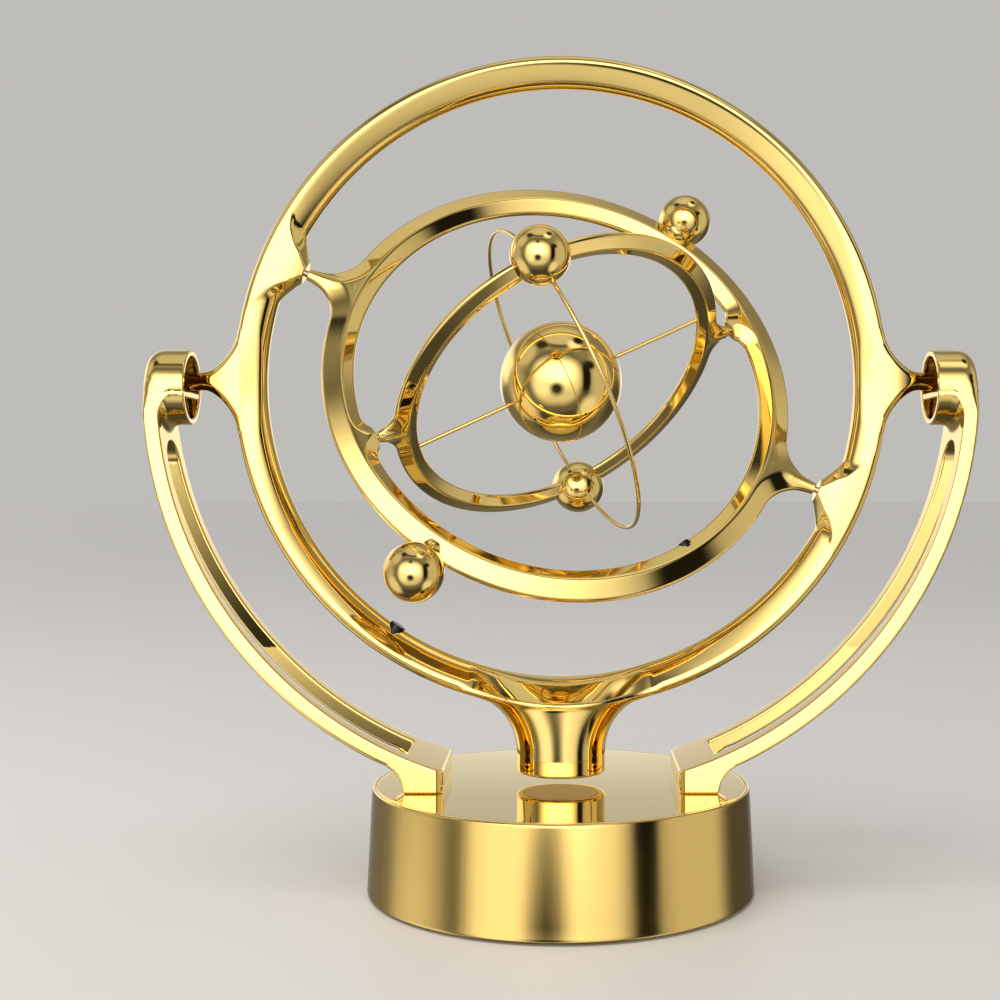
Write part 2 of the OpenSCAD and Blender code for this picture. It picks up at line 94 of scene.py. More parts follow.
def in_plane(degrees):
    """Unit vector in the local XY plane."""
    angle = math.radians(degrees)
    return np.array([math.cos(angle), math.sin(angle), 0])


# ------------------------------------------------------------------ signed distance tools
def smax(one, two, blend):
    """Maximum with a rounded join; intersects two shapes."""
    near = np.maximum(blend - np.abs(one - two), 0) / blend
    return np.maximum(one, two) + near * near * blend * 0.25


def smin(one, two, blend):
    """Minimum with a rounded join; unites two shapes."""
    return -smax(-one, -two, blend)


def round_edge(one, two, radius):
    """Distance to two square faces that meet at an edge of the given radius."""
    one = one + radius
    two = two + radius
    outside = np.hypot(np.maximum(one, 0), np.maximum(two, 0))
    return outside + np.minimum(np.maximum(one, two), 0) - radius


def lookup(where, stations, values):
    return np.interp(where, stations, values).astype(np.asarray(where).dtype)


def turned(x, y, degrees):
    """Coordinates along and square to a line at the given angle."""
    angle = math.radians(degrees)
    cos, sin = math.cos(angle), math.sin(angle)
    return x * cos + y * sin, -x * sin + y * cos


def magnet_pocket(x, y, z, degrees, bore, start, end):
    """Radial bore between two distances from the ring's centre."""
    along, off = turned(x, y, degrees)
    return np.maximum(np.maximum(np.hypot(off, z) - bore, along - end), start - along)


def surface_nets(field, wrap):
    """Zero surface of a 3-D grid, as points in grid units and quads. Wrap joins axis 0."""
    if wrap:
        field = np.concatenate([field, field[:1]], 0)
    inside = field < 0
    corners = list(np.ndindex(2, 2, 2))
    count = np.zeros([size - 1 for size in field.shape], np.int8)
    for corner in corners:
        count += inside[tuple(slice(c, c + size) for c, size in zip(corner, count.shape))]
    crossed = (count > 0) & (count < 8)
    cells = np.nonzero(crossed)
    total = len(cells[0])
    index = -np.ones(crossed.shape, np.int64)
    index[cells] = np.arange(total)

    # each point is the mean of the crossings on its cell's edges
    offset = np.zeros((total, 3))
    crossings = np.zeros(total)
    value = {corner: field[tuple(cell + c for cell, c in zip(cells, corner))].astype(float)
             for corner in corners}
    for corner in corners:
        for axis in range(3):
            if corner[axis] == 0:
                far = list(corner)
                far[axis] = 1
                start, end = value[corner], value[tuple(far)]
                cross = (start < 0) != (end < 0)
                spot = np.array(corner, float)[None, :].repeat(total, 0)
                spot[:, axis] = np.where(cross, start / np.where(cross, start - end, 1), 0)
                offset += spot * cross[:, None]
                crossings += cross
    points = np.stack(cells, 1) + offset / crossings[:, None]

    # each crossed grid edge gives one quad through the four cells round it
    quads = []
    unit = np.eye(3, dtype=int)[:, :, None]
    for axis in range(3):
        window = [slice(0, -1) if wrap else slice(1, -1), slice(1, -1), slice(1, -1)]
        window[axis] = slice(None)
        found = np.nonzero(np.diff(inside, axis=axis)[tuple(window)])
        edge = np.array([at + (part.start or 0) for at, part in zip(found, window)])
        side, back = unit[(axis + 1) % 3], unit[(axis + 2) % 3]
        quad = np.stack([index[i % len(index), j, k] for i, j, k in
                         (edge - side - back, edge - back, edge, edge - side)], 1)
        leaving = inside[tuple(edge)]
        quad[~leaving] = quad[~leaving][:, ::-1]
        quads.append(quad)
    quads = np.concatenate(quads, 0)
    return points, quads[(quads >= 0).all(1)]


def gradient(shape, points, step=0.01):
    slope = np.empty_like(points)
    for axis in range(3):
        shift = np.zeros(3)
        shift[axis] = step
        ahead = points + shift
        behind = points - shift
        slope[:, axis] = (shape(*ahead.T) - shape(*behind.T)) / (2 * step)
    return slope


def bent_mesh(shape, centre, turn, radii, heights, steps):
    """Mesh of shape < 0 on a grid bent round centre, with points, quads and normals.

    Turn is in degrees; steps are the grid pitch along the arc, radius and height.
    """
    arc_step, radial_step, height_step = steps
    wrap = turn[1] - turn[0] > 359.9
    count = int(math.radians(turn[1] - turn[0]) * (0.5 * (radii[0] + radii[1])) / arc_step)
    if wrap:
        angles = np.radians(turn[0]) + 2 * np.pi * np.arange(count) / count
    else:
        angles = np.linspace(math.radians(turn[0]), math.radians(turn[1]), count)
    radial = np.linspace(*radii, int((radii[1] - radii[0]) / radial_step) + 1)
    levels = np.linspace(*heights, int((heights[1] - heights[0]) / height_step) + 1)

    def bend(angle, radius, z):
        return centre[0] + radius * np.cos(angle), centre[1] + radius * np.sin(angle), z

    field = np.empty((count, len(radial), len(levels)), np.float32)
    for first in range(0, count, 64):                   # in slabs, to save memory
        part = slice(first, first + 64)
        grid = np.meshgrid(angles[part], radial, levels, indexing="ij")
        field[part] = shape(*bend(*(axis.astype(np.float32) for axis in grid)))
    grid_points, quads = surface_nets(field, wrap)
    points = np.stack(bend(angles[0] + grid_points[:, 0] * (angles[1] - angles[0]),
                           radii[0] + grid_points[:, 1] * (radial[1] - radial[0]),
                           heights[0] + grid_points[:, 2] * (levels[1] - levels[0])), 1)
    for _ in range(4):                                  # draw the points onto the surface
        slope = gradient(shape, points)
        move = shape(*points.T) / np.maximum((slope * slope).sum(1), 0.05)
        points = points - slope * np.clip(move, -0.25, 0.25)[:, None]
    slope = gradient(shape, points)
    normals = slope / np.maximum(np.linalg.norm(slope, axis=1), 1e-9)[:, None]
    corner = points[quads]
    facing = np.cross(corner[:, 2] - corner[:, 0], corner[:, 3] - corner[:, 1])
    if ((facing * normals[quads[:, 0]]).sum(1) < 0).mean() > 0.5:
        quads = quads[:, ::-1]
    return points, quads, normals


# ------------------------------------------------------------------ mesh helpers
def add_mesh(name, points, faces, body, node, material, normals=None):
    """Adds an object that replaces a node. Faces is a list of (n, corners) arrays."""
    mesh = bpy.data.meshes.new(name)
    mesh.vertices.add(len(points))
    mesh.vertices.foreach_set("co", (points / 1000).astype(np.float32).ravel())
    loops = np.concatenate([group.ravel() for group in faces]).astype(np.int32)
    sizes = np.concatenate([np.full(len(group), group.shape[1]) for group in faces])
    starts = np.concatenate([[0], np.cumsum(sizes)[:-1]])
    mesh.loops.add(len(loops))
    mesh.loops.foreach_set("vertex_index", loops)
    mesh.polygons.add(len(sizes))
    mesh.polygons.foreach_set("loop_start", starts.astype(np.int32))
    mesh.polygons.foreach_set("loop_total", sizes.astype(np.int32))
    mesh.update(calc_edges=True)
    mesh.validate()
    mesh.polygons.foreach_set("use_smooth", np.full(len(mesh.polygons), True))
    if normals is not None:
        mesh.normals_split_custom_set_from_vertices([tuple(normal) for normal in normals])
    obj = bpy.data.objects.new(name, mesh)
    scene.collection.objects.link(obj)
    mesh.materials.append(MATERIALS[material])
    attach(obj, body)
    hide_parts(node)
    return obj


def lathe(profile, segments, axes, origin, closed):
    """Turns (radius, height) points about the third axis. Radius 0 gives a single vertex."""
    angles = 2 * np.pi * np.arange(segments) / segments
    points = []
    rings = []
    for radius, height in np.array(profile, float):
        if radius < 1e-9:
            rings.append([len(points)] * segments)
            points.append((0, 0, height))
        else:
            rings.append(list(range(len(points), len(points) + segments)))
            points.extend(np.stack([radius * np.cos(angles), radius * np.sin(angles),
                                    np.full(segments, height)], 1).tolist())
    faces = {4: [], 3: []}
    for i in range(len(rings) if closed else len(rings) - 1):
        lower, upper = rings[i], rings[(i + 1) % len(rings)]
        for j in range(segments):
            k = (j + 1) % segments
            face = list(dict.fromkeys([lower[j], lower[k], upper[k], upper[j]]))
            faces[len(face)].append(face)
    groups = [np.array(group) for group in faces.values() if group]
    return to_world(np.array(points), axes, origin), groups


def add_turned(name, profile, segments, body, node, material, crease,
               axes=np.eye(3), origin=np.zeros(3), closed=False):
    """Adds a turned part; edges sharper than crease degrees stay crisp."""
    points, faces = lathe(profile, segments, axes, origin, closed)
    mesh = add_mesh(name, points, faces, body, node, material).data
    edit = bmesh.new()
    edit.from_mesh(mesh)
    bmesh.ops.recalc_face_normals(edit, faces=edit.faces)
    for edge in edit.edges:
        if len(edge.link_faces) == 2 and edge.calc_face_angle(0) > math.radians(crease):
            edge.smooth = False
    edit.to_mesh(mesh)
    edit.free()


def arc(x, y, radius, start, end, count):
    return [(x + radius * math.cos(angle), y + radius * math.sin(angle))
            for angle in np.radians(np.linspace(start, end, count))]


def tube(path, radius, closed, sides=18):
    """Round wire along a path of points, capped with fans when it is open."""
    count = len(path)
    if closed:
        along = np.roll(path, -1, 0) - np.roll(path, 1, 0)
    else:
        along = np.gradient(path, axis=0)
    along /= np.linalg.norm(along, axis=1)[:, None]
    if closed:
        normal = np.linalg.svd(path - path.mean(0))[2][2]
    else:
        normal = np.cross(along[0], [0.3, 0.9, 0.2])    # any direction off the path
    normal = normal / np.linalg.norm(normal)
    across = np.tile(normal, (count, 1))
    across -= (across * along).sum(1)[:, None] * along
    across /= np.linalg.norm(across, axis=1)[:, None]
    third = np.cross(along, across)
    angles = 2 * np.pi * np.arange(sides) / sides
    cos, sin = (wave(angles)[None, :, None] for wave in (np.cos, np.sin))
    rings = path[:, None] + radius * (cos * across[:, None] + sin * third[:, None])
    points = rings.reshape(-1, 3)
    i = np.arange(count if closed else count - 1)[:, None]
    j = np.arange(sides)[None, :]
    next_i = (i + 1) % count
    next_j = (j + 1) % sides
    faces = [np.stack([i * sides + j, i * sides + next_j,
                       next_i * sides + next_j, next_i * sides + j], -1).reshape(-1, 4)]
    if not closed:
        points = np.concatenate([points, path[:1], path[-1:]])
        start, end = len(points) - 2, len(points) - 1
        last = (count - 1) * sides
        faces.append(np.array(
            [[start, (k + 1) % sides, k] for k in range(sides)]
            + [[end, last + k, last + (k + 1) % sides] for k in range(sides)]))
    return points, faces


# ------------------------------------------------------------------ node helpers
def add_node(tree, kind, inputs, output=0, **settings):
    """Adds a shader node and returns one output. An input is a value or another output."""
    node = tree.nodes.new("ShaderNode" + kind)
    for key, value in settings.items():
        setattr(node, key, value)
    for key, value in inputs.items():
        if isinstance(value, bpy.types.NodeSocket):
            tree.links.new(value, node.inputs[key])
        else:
            node.inputs[key].default_value = value
    return node.outputs[output]


def maths(tree, operation, *values):
    return add_node(tree, "Math", dict(enumerate(values)), operation=operation)


def noise(tree, vector, scale, detail):
    return add_node(tree, "TexNoise", {"Vector": vector, "Scale": scale, "Detail": detail})


def ramp(tree, factor, stops):
    """Colour ramp through (position, (r, g, b)) stops."""
    color = add_node(tree, "ValToRGB", {"Fac": factor})
    elements = color.node.color_ramp.elements
    while len(elements) < len(stops):
        elements.new(0.5)
    for element, (position, rgb) in zip(elements, stops):
        element.position = position
        element.color = tuple(rgb) + (1,)
    return color


def add_bump(tree, shader, height, strength):
    normal = add_node(tree, "Bump", {"Strength": strength, "Distance": 0.0001, "Height": height})
    tree.links.new(normal, shader.inputs["Normal"])


# ------------------------------------------------------------------ materials
MATERIALS = {}


def new_material(name):
    mat = bpy.data.materials.new(name)
    mat.use_nodes = True
    MATERIALS[name] = mat
    return mat, mat.node_tree, mat.node_tree.nodes["Principled BSDF"]


def metal(name, color, rough, spread, bump, edge_highlight, grain=900, stretch=(1, 1, 1)):
    """Metal with a slow colour drift, cloudy and fine roughness, and convex edges painted paler
    as a highlight.

    Spread is the roughness range either way; grain and stretch shape the fine noise.
    """
    _, tree, shader = new_material(name)
    coords = add_node(tree, "TexCoord", {}, output="Object")
    drift = ramp(tree, noise(tree, coords, scale=14, detail=3),
                 [(0.3, [channel * (1 - 0.06) for channel in color]), (0.7, color)])
    # convex edges get a paler, whiter tint: a painted edge highlight
    pointed = add_node(tree, "NewGeometry", {}, output="Pointiness")
    edges = ramp(tree, pointed, [(0.52, (0, 0, 0)), (0.62, (1, 1, 1))])
    red, green, blue = color
    pale = (min(1, red * 1.02), min(1, green * 1.12), min(1, blue * 1.5), 1)
    highlit_edges = add_node(tree, "Mix", {"B": pale, "Factor": maths(tree, "MULTIPLY", edges, edge_highlight),
                                  "A": drift}, output="Result", data_type="RGBA")
    tree.links.new(highlit_edges, shader.inputs["Base Color"])
    shader.inputs["Metallic"].default_value = 1.0

    clouds = noise(tree, coords, scale=55, detail=5)
    stretched = add_node(tree, "Mapping", {"Vector": coords, "Scale": stretch})
    fine = noise(tree, stretched, scale=grain, detail=4)
    cloud_part = maths(tree, "MULTIPLY_ADD", clouds, 0.6, 0.0)
    marks = maths(tree, "MULTIPLY_ADD", fine, 0.4, cloud_part)
    roughness = add_node(tree, "MapRange", {
        "Value": marks, "From Min": 0.35, "From Max": 0.65,
        "To Min": max(0.01, rough - spread), "To Max": rough + spread})
    tree.links.new(roughness, shader.inputs["Roughness"])
    if bump > 0.012:                                    # a mirror finish stays without one
        add_bump(tree, shader, fine, bump)


def plastic(name, color, rough=0.4, grain=1200, bump=0.15, drift=0.12):
    """Non-metal with mottled colour and roughness and a fine bump."""
    _, tree, shader = new_material(name)
    coords = add_node(tree, "TexCoord", {}, output="Object")
    mottle = noise(tree, coords, scale=60, detail=4)
    fine = noise(tree, coords, scale=grain, detail=3)
    shade = ramp(tree, mottle, [(0.35, [channel * (1 - drift) for channel in color]),
                                (0.65, [min(1, channel * (1 + drift)) for channel in color])])
    tree.links.new(shade, shader.inputs["Base Color"])
    roughness = add_node(tree, "MapRange", {
        "Value": mottle, "To Min": max(0.02, rough - 0.08), "To Max": rough + 0.08})
    tree.links.new(roughness, shader.inputs["Roughness"])
    add_bump(tree, shader, fine, bump)


# the edge-tint value of each metal sets the strength of its painted edge highlight on convex
# edges
GOLD = (0.965, 0.705, 0.235)
metal("polished_gold", GOLD, rough=0.035, spread=0.02, bump=0.006, edge_highlight=0.2)
metal("ball_gold", GOLD, rough=0.03, spread=0.015, bump=0.004, edge_highlight=0.0)
metal("gloss_gold_plate", (0.965, 0.765, 0.31), rough=0.04, spread=0.02, bump=0.004, edge_highlight=0.15,
      grain=500)
metal("satin_gold", (0.965, 0.67, 0.21), rough=0.11, spread=0.03, bump=0.05, edge_highlight=0.35,
      grain=700, stretch=(1, 1, 0.04))
metal("gold_wire", GOLD, rough=0.17, spread=0.03, bump=0.01, edge_highlight=0.0)
metal("hub_cap_gold", (0.40, 0.25, 0.10), rough=0.2, spread=0.05, bump=0.03, edge_highlight=0.2)
metal("steel", (0.62, 0.61, 0.60), rough=0.22, spread=0.08, bump=0.05, edge_highlight=0.3)
metal("magnet", (0.035, 0.034, 0.036), rough=0.32, spread=0.08, bump=0.05, edge_highlight=0.2)
metal("copper", (0.80, 0.32, 0.16), rough=0.3, spread=0.08, bump=0.15, edge_highlight=0.1, grain=1500)
metal("contact", (0.70, 0.70, 0.66), rough=0.25, spread=0.06, bump=0.05, edge_highlight=0.2)
plastic("black_plastic", (0.018, 0.018, 0.019), rough=0.42)
plastic("bush_plastic", (0.055, 0.012, 0.006), rough=0.28, bump=0.35, grain=700, drift=0.5)
plastic("natural_plastic", (0.75, 0.73, 0.66))
plastic("rubber", (0.022, 0.021, 0.02), rough=0.75, bump=0.4, grain=1800)
plastic("cell_jacket", (0.05, 0.16, 0.12), rough=0.25, bump=0.03)
plastic("board", (0.02, 0.14, 0.05), rough=0.35, bump=0.1)
plastic("wire_jacket", (0.45, 0.02, 0.015))

# Loaded nodes by material; every other node is polished gold.
NODES_BY_MATERIAL = {
    "black_plastic": "bottom_cover battery_door battery_tray board_parts",
    "cell_jacket": "battery_cells",
    "contact": "contact_plates contact_springs",
    "natural_plastic": "coil_bobbin",
    "copper": "drive_coil",
    "board": "circuit_board",
    "wire_jacket": "lead_wires",
    "rubber": "foot_ring",
    "steel": "cover_screws arm_screws swing_pins middle_pins inner_pins",
    "bush_plastic": "bearing_left bearing_right",
    "magnet": "drive_magnet outer_trim_magnet middle_trim_magnet",
    "hub_cap_gold": "hub_cap",
}
node_material = {node: name for name, nodes in NODES_BY_MATERIAL.items()
                 for node in nodes.split()}
for node_name, node_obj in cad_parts.items():
    node_mat = MATERIALS[node_material.get(node_name, "polished_gold")]
    if len(node_obj.data.materials) == 0:
        node_obj.data.materials.append(node_mat)
    else:
        for node_slot in node_obj.material_slots:
            node_slot.material = node_mat


# ------------------------------------------------------------------ outer ring
RIM_DEPTH = 4.4             # half depth of the rim along local Z
NOSE_R = 72.9               # innermost edge of the rim
HUB_R = 10.95               # half width and half depth of the hub at the bottom
FILLET_R = 14.0             # concave sides of the hub and of the necks
HUB_FLARE = (33.55, 47.06)  # world heights where the hub's concave sides start and end
HUB_JOIN_Y = -60            # local height below which the hub joins the rim
TRIM_ANGLE = 236.3          # degrees, pocket of the trim magnet
TRIM_START = 60             # the pocket and its notch are cut from this radius outwards

# Lugs for the middle ring: distance from the pivot, then half width of the flat face,
# half width at the foot of the side bevel, and half thickness
LUG_TIP = 69.0
LUG_AT = [68.9, 69.6, 70.5, 71.8, 74.0, 75.9, 77.3, 78.5]
LUG_FACE = [0.9, 1.5, 2.45, 3.9, 5.6, 7.7, 10.4, 13.9]
LUG_WIDTH = [2.95, 3.75, 5.1, 7.0, 9.2, 11.6, 14.4, 18.0]
LUG_HEIGHT = [3.1, 3.3, 3.6, 3.95, 4.3, 4.42, 4.42, 4.42]

# Necks to the swing pins: half widths from |x| along the neck
NECK_ROOT, NECK_TIP = 74.0, 93.0
NECK_SLIM = 2.25            # half width beside the pin
FILLET_X, FILLET_Y = 93.51, 14.94
NECK_AT = np.linspace(73, 94, 85)
NECK_WIDTH = FILLET_Y - np.sqrt(np.maximum(FILLET_R ** 2 - (NECK_AT - FILLET_X) ** 2, 0))
NECK_WIDTH = np.where(NECK_AT < 79.75, 12.1, NECK_WIDTH)
NECK_WIDTH = smax(NECK_WIDTH, np.full_like(NECK_WIDTH, NECK_SLIM), 0.8)


def rim_flank(radius, y, height):
    """Inner side of the rim: domed by the necks, mostly a flat bevel and nose elsewhere."""
    bevel = (-(radius - 73.8) * 2.6 + (height - 1.8) * 4.8) / 5.459
    nose = (-(radius - NOSE_R) * 1.6 + (height - 0.35) * 0.9) / 1.836
    nose = smax(nose, NOSE_R - radius, 0.7)
    share = 0.1 + 0.9 * np.exp(-(np.maximum(np.abs(y) - 14, 0) / 22.0) ** 2)
    low_share = 0.45 * np.exp(-((y + 40) / 22.0) ** 2)
    share = np.where(y < 0, np.maximum(share, low_share), share)
    dome = (np.maximum((81.2 - radius) / 8.3, 1e-4) ** 2.25
            + np.maximum(height / 4.65, 1e-4) ** 2.25) ** 0.4444 - 1
    return (1 - share) * smax(bevel, nose, 0.7) + share * dome * 4.6


def outer_lugs(x, y, depth):
    """A flat face that narrows to the tip, with steep bevelled sides."""
    along, off = (np.abs(part) for part in turned(x, y, MIDDLE_PINS))
    face = lookup(along, LUG_AT, LUG_FACE)
    width = lookup(along, LUG_AT, LUG_WIDTH)
    height = lookup(along, LUG_AT, LUG_HEIGHT)
    side = (((off - face) * (height - 0.9) + (depth - height) * (width - face))
            / np.hypot(height - 0.9, width - face))
    lug = smax(side, depth - height, 0.35)
    lug = smax(lug, off - width, lookup(along, [69, 71], [1.8, 0.8]))
    return smax(lug, LUG_TIP - along, 0.35)


def outer_hub(x, y, z, world_z, depth_limit):
    rise = np.clip(world_z, *HUB_FLARE) - HUB_FLARE[0]
    width = HUB_R + FILLET_R - np.sqrt(FILLET_R ** 2 - rise * rise)
    rim_width = np.sqrt(np.maximum(80.5 ** 2 - np.minimum(y, HUB_JOIN_Y) ** 2, 1.0))
    width = np.where(world_z > HUB_FLARE[1], np.minimum(rim_width, 26.0), width)
    hub = (np.sqrt((x / width) ** 2 + (z / HUB_R) ** 2) - 1) * HUB_R
    hub = smax(hub, np.abs(z) - depth_limit - 0.25, 0.8)
    hub = smax(hub, HUB_BOTTOM - world_z, 0.8)
    return smax(hub, world_z - 52.0, 1.0)


def outer_necks(x, y, depth):
    along, off = np.abs(x), np.abs(y)
    width = lookup(along, NECK_AT, NECK_WIDTH)
    ease = np.clip((along - 81.5) / 11.5, 0, 1)
    height = (lookup(along, [73.8, 76.2, 78.0, 79.2, 82], [1.6, 3.2, 4.0, 4.38, 4.4])
              - 2.2 * ease * ease * (3 - 2 * ease))
    edge = np.minimum(np.minimum(width, height) * 0.98,
                      lookup(along, [78, 86, 90], [2.0, 1.9, 2.4]))
    side = smin(FILLET_R - np.hypot(along - FILLET_X, off - FILLET_Y), off - NECK_SLIM, 0.8)
    neck = round_edge(side, depth - height, edge)
    neck = np.maximum(neck, (off - 0.1595 * along) * 0.987)
    neck = smax(neck, NECK_ROOT - along, 0.6)
    return smax(neck, along - NECK_TIP, 0.4)


def outer_ring(x, y, z):
    radius = np.hypot(x, y)
    depth = np.abs(z)
    world_z = y + PIVOT_Z
    # the lower rim deepens towards the hub
    swell = HUB_R * np.clip(1 - (x / 23.0) ** 2, 0, 1) ** 0.9
    depth_limit = np.where(y < 0, smax(swell, np.full_like(swell, RIM_DEPTH), 4.0), RIM_DEPTH)
    height = depth / (depth_limit / RIM_DEPTH)
    crest = 0.4 + 2.4 * np.exp(-(y / 10.0) ** 2)        # the crest softens towards the necks
    rim = round_edge(radius - OUTER_R, height - RIM_DEPTH, 2.0)
    flank = smin(rim_flank(radius, y, height), outer_lugs(x, y, depth), 2.0)
    hub = outer_hub(x, y, z, world_z, depth_limit)
    rim = np.where(y < HUB_JOIN_Y, smin(rim, hub, 0.7), rim)
    ring = smin(smax(rim, flank, crest), outer_necks(x, y, depth), 0.45)
    # round recess in the hub's underside
    recess = np.maximum(np.hypot(x, z) - 9.25, world_z - (HUB_BOTTOM + 1.25))
    ring = np.maximum(ring, -recess)
    ring = np.maximum(ring, -magnet_pocket(x, y, z, TRIM_ANGLE, bore=2.07,
                                           start=TRIM_START, end=76.4))
    # V notch that shows the magnet from the front
    along, off = turned(x, y, TRIM_ANGLE)
    notch = np.maximum((np.abs(off) - (75.3 - along) * 0.8) * 0.78, along - 74.9)
    notch = np.maximum(notch, np.maximum(0.4 - z, TRIM_START - along))
    return smax(ring, -notch, 0.15)


def cast_ring(body, axes, shape, radii, half_height, steps):
    points, quads, normals = bent_mesh(shape, (0, 0), (0, 360), radii,
                                       (-half_height, half_height), steps)
    add_mesh(f"{body}_ring_cast", to_world(points, axes), [quads], body, f"{body}_ring",
             "polished_gold", normals=normals @ axes.T)


cast_ring("outer", OUTER_AXES, outer_ring, radii=(67.6, 98.0), half_height=11.6,
          steps=(0.36, 0.36, 0.36))


# ------------------------------------------------------------------ middle and inner rings
def gimbal_ring(outer_r, outer_half, crest_r, crest_half, inner_r, inner_half,
                fillet, stub_half, tip, root_core, tip_core, crest_blend,
                lugs=None, pocket=None):
    """Ring bevelled both ways from a crest, with a filleted pin stub at each end of local X.

    The "half" sizes are half thicknesses, and the stub's half width; the cores are the radii
    of the stub's round middle.
    """
    outer_slope = (crest_half - outer_half) / (outer_r - crest_r - 0.2)
    inner_slope = (crest_half - inner_half) / (crest_r - inner_r)
    outer_norm = math.sqrt(1 + outer_slope * outer_slope)
    inner_norm = math.sqrt(1 + inner_slope * inner_slope)
    fillet_y = fillet + stub_half
    fillet_x = math.sqrt((outer_r + fillet) ** 2 - fillet_y * fillet_y)
    root = outer_r - 2.5

    def shape(x, y, z):
        radius = np.hypot(x, y)
        depth, along, off = np.abs(z), np.abs(x), np.abs(y)
        from_outer = np.where(off * fillet_x < along * fillet_y,
                              np.hypot(along - fillet_x, off - fillet_y) - fillet,
                              outer_r - radius)
        from_inner = radius - inner_r
        if lugs:
            # short lugs on the inside: the bevel follows a fillet round each side of them
            lug_along, lug_off = (np.abs(part) for part in turned(x, y, lugs["degrees"]))
            lug_x, lug_y = lugs["centre"]
            in_lug = lug_off * lug_x < lug_along * lug_y
            round_lug = np.hypot(lug_along - lug_x, lug_off - lug_y) - lugs["fillet"]
            from_inner = np.where(in_lug, round_lug, from_inner)
        outer = smax(-from_outer, (depth - outer_half - outer_slope * from_outer) / outer_norm,
                     0.5)
        inner = smax(-from_inner, (depth - inner_half - inner_slope * from_inner) / inner_norm,
                     0.5)
        ring = smax(smax(outer, inner, crest_blend), depth - crest_half, crest_blend)
        ring = smax(ring, along - tip, 0.25)
        core_r = lookup(along, [root, outer_r + 3, tip],
                        [root_core, root_core * 0.72 + tip_core * 0.28, tip_core])
        core = smax(np.hypot(off, z) - core_r, np.maximum(along - tip, root - along), 0.2)
        ring = smin(ring, core, 0.6)
        if lugs:
            ring = np.where(in_lug, smax(ring, lugs["tip"] - lug_along, 0.3), ring)
        if pocket:
            ring = np.maximum(ring, -magnet_pocket(x, y, z, **pocket))
        return ring
    return shape


middle_ring = gimbal_ring(
    outer_r=58.9, outer_half=0.8, crest_r=54.3, crest_half=2.8, inner_r=51.1, inner_half=0.6,
    fillet=11.0, stub_half=1.2, tip=68.2, root_core=2.4, tip_core=1.3, crest_blend=0.3,
    lugs=dict(degrees=INNER_PINS, centre=(46.5, 6.1), fillet=4.2, tip=49.2),
    pocket=dict(degrees=325.9, bore=1.56, start=30, end=54.2))
cast_ring("middle", MIDDLE_AXES, middle_ring, radii=(48.4, 69.0), half_height=3.4,
          steps=(0.30, 0.27, 0.27))
inner_ring = gimbal_ring(
    outer_r=44.5, outer_half=0.6, crest_r=41.2, crest_half=1.75, inner_r=38.65,
    inner_half=0.35, fillet=6.5, stub_half=1.1, tip=48.5, root_core=1.75, tip_core=1.15,
    crest_blend=0.22)
cast_ring("inner", INNER_AXES, inner_ring, radii=(38.0, 49.2), half_height=2.4,
          steps=(0.26, 0.21, 0.21))

# ------------------------------------------------------------------ arms
ARM_X, ARM_Z = 1.09, 125.98     # centre of the left arm's curve
ARM_R, ARM_INNER_R = 103.14, 99.34
FOOT_Z = 25.76
FOOT_END = 28.1                 # the foot stops this far left of the middle
BEARING_Z = 123.42
CUP_R, BORE_R = 9.32, 7.72
TAPER_TOP = 121.92
SLOT_TOP, SLOT_TOP_R = 104.6, 5.5


def left_arm(x, z, y):
    """The arm curves in the world XZ plane; y runs across it."""
    radius = np.hypot(x - ARM_X, z - ARM_Z)
    across = np.abs(y)
    foot = np.maximum(np.maximum(-41.9 - x, x + FOOT_END),
                      np.maximum(FOOT_Z - z, z - 39.76))
    outline = np.minimum(radius - ARM_R, foot)
    edge = lookup(z, [117, 125], [0.9, 4.2])
    width = lookup(z, [24.76, TAPER_TOP], [15.6, 8.97])
    side = np.where(z > TAPER_TOP, np.hypot(y, np.maximum(z - BEARING_Z, 0)) - CUP_R,
                    across - width)
    arm = smax(outline, side, edge)
    arm = smax(arm, smax(ARM_INNER_R - radius, side, 0.7), 0.25)
    arm = smax(arm, 7.03 - np.hypot(x + 44.63, z - FOOT_Z), 0.5)    # hollow above the foot
    arm = smax(arm, x + FOOT_END, 0.5)
    arm = smax(arm, ((across - width) + (x + FOOT_END) + 1.5) / 1.4142, 0.4)
    arm = np.maximum(arm, 25.73 - z)
    # through slot with a softened mouth
    slot_width = lookup(z, [0, 58, SLOT_TOP, 105], [8.9, 8.9, SLOT_TOP_R, SLOT_TOP_R])
    slot = np.where(z > SLOT_TOP, np.hypot(y, z - SLOT_TOP) - SLOT_TOP_R, across - slot_width)
    slot = smax(slot, x + 37.4, 0.5)
    arm = smax(arm, -slot, 0.7)
    # bearing cup and its bore
    from_bearing = np.hypot(y, z - BEARING_Z)
    cup = smax(from_bearing - CUP_R, np.maximum(x + 91.7, -x - 101.2), 0.5)
    arm = smin(arm, cup, 3.4)
    arm = np.maximum(arm, np.where(z > 100, smax(radius - ARM_R, side, edge), -9.0))
    bore = smax(from_bearing - BORE_R, -x - 98.9, 0.3)
    arm = smax(arm, -bore, 0.45)
    # narrow shelf across the bore
    shelf = smax(np.maximum(x + 91.9, -x - 94.1), np.maximum(120.62 - z, z - 122.32), 0.4)
    return np.minimum(arm, np.maximum(shelf, from_bearing - 8.7))


arm_points, arm_quads, arm_normals = bent_mesh(
    left_arm, (ARM_X, ARM_Z), turn=(171.5, 256.5), radii=(87.5, 112.5), heights=(-16.4, 16.4),
    steps=(0.38, 0.34, 0.38))
# Swapping y and z mirrors the left arm, so its quads turn round; the right one mirrors back.
for arm_side, arm_sign, arm_faces in (("left", 1, arm_quads[:, ::-1]), ("right", -1, arm_quads)):
    mirror = np.array([arm_sign, 1, 1])
    add_mesh(f"arm_{arm_side}_cast", arm_points[:, [0, 2, 1]] * mirror, [arm_faces], "base",
             f"arm_{arm_side}", "polished_gold", normals=arm_normals[:, [0, 2, 1]] * mirror)

